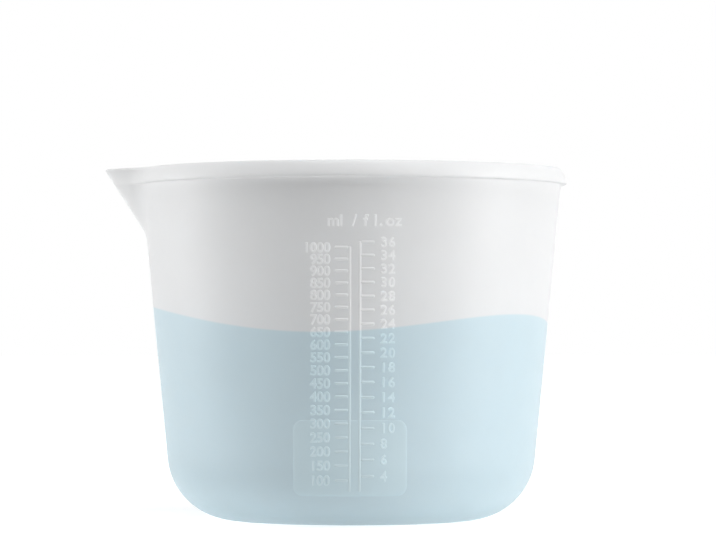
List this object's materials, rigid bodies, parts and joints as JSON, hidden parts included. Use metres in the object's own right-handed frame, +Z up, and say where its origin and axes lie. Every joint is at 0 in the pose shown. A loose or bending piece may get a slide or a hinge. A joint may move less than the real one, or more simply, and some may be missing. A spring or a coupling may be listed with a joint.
{
  "type": "silicone measuring cup",
  "caption": "Tapered round silicone measuring cup with a beaded rim, a pointed pouring spout and a raised double scale in millilitres and fluid ounces.",
  "frame": {"origin": "on the cup's axis, in the plane of the flat base that it stands on", "axes": "+Z up along the cup's axis, -X towards the tip of the spout, -Y towards the scale"},
  "size_m": [0.1543, 0.1442, 0.1167],
  "materials": {
    "silicone": "translucent milky silicone, satin",
    "raised_scale": "the same silicone where it stands proud, a little glossier"
  },
  "bodies": {
    "root": {"cup": "silicone", "fl_oz_mark_10": "raised_scale", "fl_oz_mark_12": "raised_scale", "fl_oz_mark_14": "raised_scale", "fl_oz_mark_16": "raised_scale", "fl_oz_mark_18": "raised_scale", "fl_oz_mark_20": "raised_scale", "fl_oz_mark_22": "raised_scale", "fl_oz_mark_24": "raised_scale", "fl_oz_mark_26": "raised_scale", "fl_oz_mark_28": "raised_scale", "fl_oz_mark_30": "raised_scale", "fl_oz_mark_32": "raised_scale", "fl_oz_mark_34": "raised_scale", "fl_oz_mark_36": "raised_scale", "fl_oz_mark_4": "raised_scale", "fl_oz_mark_6": "raised_scale", "fl_oz_mark_8": "raised_scale", "fl_oz_rail": "raised_scale", "ml_mark_100": "raised_scale", "ml_mark_1000": "raised_scale", "ml_mark_150": "raised_scale", "ml_mark_200": "raised_scale", "ml_mark_250": "raised_scale", "ml_mark_300": "raised_scale", "ml_mark_350": "raised_scale", "ml_mark_400": "raised_scale", "ml_mark_450": "raised_scale", "ml_mark_500": "raised_scale", "ml_mark_550": "raised_scale", "ml_mark_600": "raised_scale", "ml_mark_650": "raised_scale", "ml_mark_700": "raised_scale", "ml_mark_750": "raised_scale", "ml_mark_800": "raised_scale", "ml_mark_850": "raised_scale", "ml_mark_900": "raised_scale", "ml_mark_950": "raised_scale", "ml_rail": "raised_scale"}
  },
  "joints": []
}
